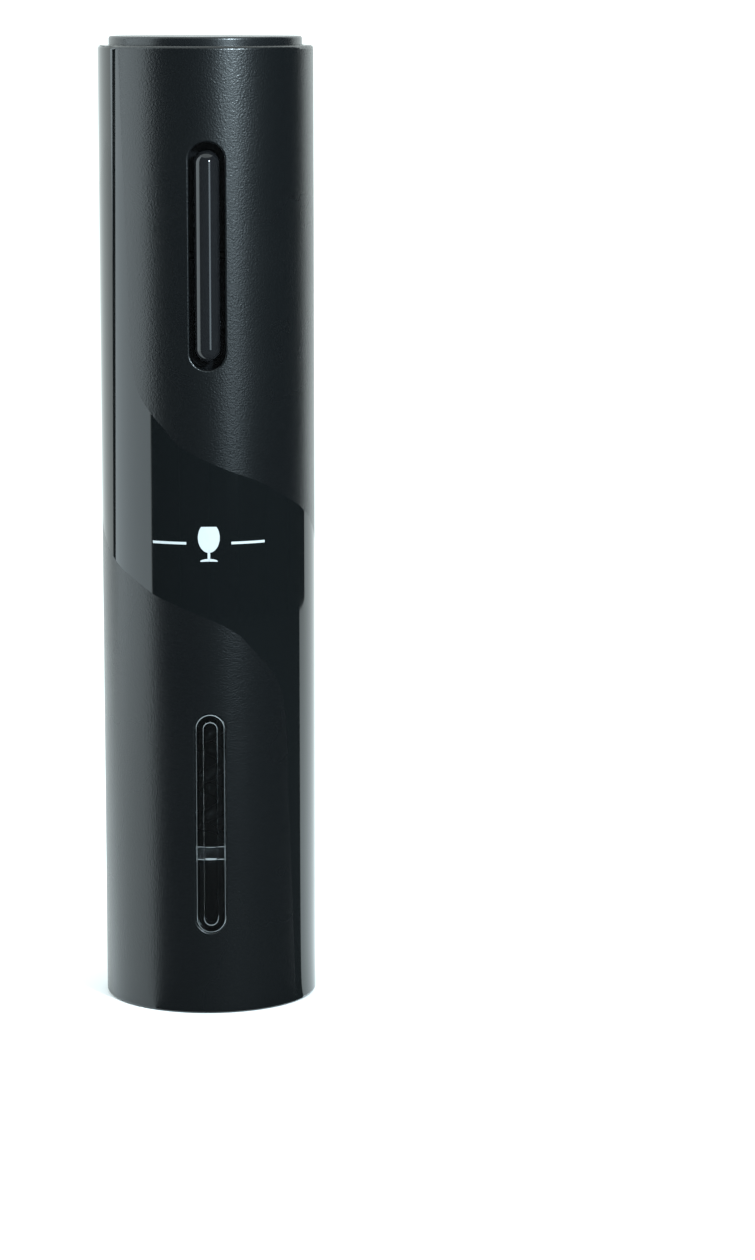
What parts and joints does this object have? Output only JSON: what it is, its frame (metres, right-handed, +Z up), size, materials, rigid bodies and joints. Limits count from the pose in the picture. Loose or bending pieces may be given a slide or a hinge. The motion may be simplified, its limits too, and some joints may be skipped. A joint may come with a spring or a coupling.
{
  "type": "electric wine opener",
  "caption": "Tall round battery-powered wine opener that stands over a bottle's mouth, with a long rocker switch, a clear window, a driven worm and a twist-off battery cap.",
  "frame": {"origin": "centre of the lower rim, on the surface that the opener stands on", "axes": "+Z up along the handle's axis, -Y out of the front with the switch and the window"},
  "size_m": [0.049, 0.05, 0.222],
  "materials": {
    "shell_black": "gloss band between satin fields",
    "clear_window": "clear, polished",
    "switch_gloss": "gloss",
    "inner_plastic": "fine matte",
    "ring_rubber": "soft matte",
    "worm_coating": "dark non-stick coat",
    "gear_nylon": "satin",
    "steel": "plain",
    "motor_steel": "drawn, zinc plated",
    "brass": "machined",
    "spring_metal": "nickel plated",
    "board_green": "lacquered board",
    "wire_insulation": "smooth",
    "cell_jacket": "printed film over metal"
  },
  "bodies": {
    "housing": {"back_shell": "shell_black", "battery_cell_1": "cell_jacket", "battery_cell_2": "cell_jacket", "battery_cell_3": "cell_jacket", "battery_cell_4": "cell_jacket", "battery_holder": "inner_plastic", "battery_leads": "wire_insulation", "cap_collar": "inner_plastic", "cork_guide": "inner_plastic", "frame_screws": "steel", "front_shell": "shell_black", "gearbox_case": "gear_nylon", "gearbox_cover": "steel", "lower_contacts": "spring_metal", "lower_window": "clear_window", "motor_can": "motor_steel", "motor_end_cap": "inner_plastic", "motor_leads": "wire_insulation", "motor_screws": "steel", "neck_ring": "ring_rubber", "nose_guide": "inner_plastic", "output_bush": "brass", "push_switches": "inner_plastic", "rocker_pin": "inner_plastic", "shell_screws": "steel", "switch_board": "board_green", "switch_tray": "switch_gloss", "tray_screws": "steel"},
    "motor_rotor": {"motor_shaft": "steel", "sun_pinion": "brass"},
    "first_carrier": {"stage_1_carrier": "gear_nylon", "stage_1_pins": "steel"},
    "output": {"output_carrier": "steel", "stage_2_pins": "steel", "thrust_washer": "steel", "worm_hub": "inner_plastic", "hub_pin": "steel", "corkscrew": "worm_coating"},
    "rocker": {"rocker_button": "switch_gloss"},
    "upper_plunger": {"upper_plunger": "inner_plastic"},
    "lower_plunger": {"lower_plunger": "inner_plastic"},
    "contact_carrier": {"contact_plate": "board_green", "cap_contacts": "spring_metal"},
    "cap": {"battery_cap": "shell_black", "cap_screw": "steel"},
    "stage_1_planet_a": {"stage_1_planet_a": "gear_nylon"},
    "stage_1_planet_b": {"stage_1_planet_b": "gear_nylon"},
    "stage_1_planet_c": {"stage_1_planet_c": "gear_nylon"},
    "stage_2_planet_a": {"stage_2_planet_a": "gear_nylon"},
    "stage_2_planet_b": {"stage_2_planet_b": "gear_nylon"},
    "stage_2_planet_c": {"stage_2_planet_c": "gear_nylon"}
  },
  "joints": [
    {"name": "motor_spin", "type": "hinge", "parent": "housing", "child": "motor_rotor", "pos_m": [0, 0, 0.125], "axis": [0, 0, 1], "continuous": true},
    {"name": "first_carrier_spin", "type": "hinge", "parent": "housing", "child": "first_carrier", "pos_m": [0, 0, 0.122], "axis": [0, 0, 1], "continuous": true},
    {"name": "output_spin", "type": "hinge", "parent": "housing", "child": "output", "pos_m": [0, 0, 0.108], "axis": [0, 0, 1], "continuous": true},
    {"name": "stage_1_planet_a_spin", "type": "hinge", "parent": "first_carrier", "child": "stage_1_planet_a", "pos_m": [0.00675, 0, 0.1252], "axis": [0, 0, 1], "continuous": true},
    {"name": "stage_1_planet_b_spin", "type": "hinge", "parent": "first_carrier", "child": "stage_1_planet_b", "pos_m": [-0.00337, 0.00585, 0.1252], "axis": [0, 0, 1], "continuous": true},
    {"name": "stage_1_planet_c_spin", "type": "hinge", "parent": "first_carrier", "child": "stage_1_planet_c", "pos_m": [-0.00337, -0.00585, 0.1252], "axis": [0, 0, 1], "continuous": true},
    {"name": "stage_2_planet_a_spin", "type": "hinge", "parent": "output", "child": "stage_2_planet_a", "pos_m": [0.00675, 0, 0.1179], "axis": [0, 0, 1], "continuous": true},
    {"name": "stage_2_planet_b_spin", "type": "hinge", "parent": "output", "child": "stage_2_planet_b", "pos_m": [-0.00337, 0.00585, 0.1179], "axis": [0, 0, 1], "continuous": true},
    {"name": "stage_2_planet_c_spin", "type": "hinge", "parent": "output", "child": "stage_2_planet_c", "pos_m": [-0.00337, -0.00585, 0.1179], "axis": [0, 0, 1], "continuous": true},
    {"name": "rocker_tilt", "type": "hinge", "parent": "housing", "child": "rocker", "pos_m": [0, -0.0205, 0.1734], "axis": [1, 0, 0], "range_deg": [-3.2, 3.2], "stiffness_Nm_per_rad": 0.3},
    {"name": "upper_plunger_push", "type": "slide", "parent": "housing", "child": "upper_plunger", "axis": [0, 1, 0], "range_m": [-0.00095, 0.00095]},
    {"name": "lower_plunger_push", "type": "slide", "parent": "housing", "child": "lower_plunger", "axis": [0, 1, 0], "range_m": [-0.00095, 0.00095]},
    {"name": "cap_rise", "type": "slide", "parent": "housing", "child": "contact_carrier", "axis": [0, 0, 1], "range_m": [0, 0.0121]},
    {"name": "cap_turn", "type": "hinge", "parent": "contact_carrier", "child": "cap", "pos_m": [0, 0, 0.218], "axis": [0, 0, 1], "range_deg": [0, 120]}
  ],
  "couplings": [
    {"joint": "first_carrier_spin", "follows": "output_spin", "ratio": 6},
    {"joint": "motor_spin", "follows": "output_spin", "ratio": 36},
    {"joint": "stage_1_planet_a_spin", "follows": "output_spin", "ratio": -15},
    {"joint": "stage_1_planet_b_spin", "follows": "output_spin", "ratio": -15},
    {"joint": "stage_1_planet_c_spin", "follows": "output_spin", "ratio": -15},
    {"joint": "stage_2_planet_a_spin", "follows": "output_spin", "ratio": -2.5},
    {"joint": "stage_2_planet_b_spin", "follows": "output_spin", "ratio": -2.5},
    {"joint": "stage_2_planet_c_spin", "follows": "output_spin", "ratio": -2.5},
    {"joint": "upper_plunger_push", "follows": "rocker_tilt", "m_per_rad": -0.015},
    {"joint": "lower_plunger_push", "follows": "rocker_tilt", "m_per_rad": 0.015},
    {"joint": "cap_rise", "follows": "cap_turn", "m_per_rad": 0.0057296}
  ]
}
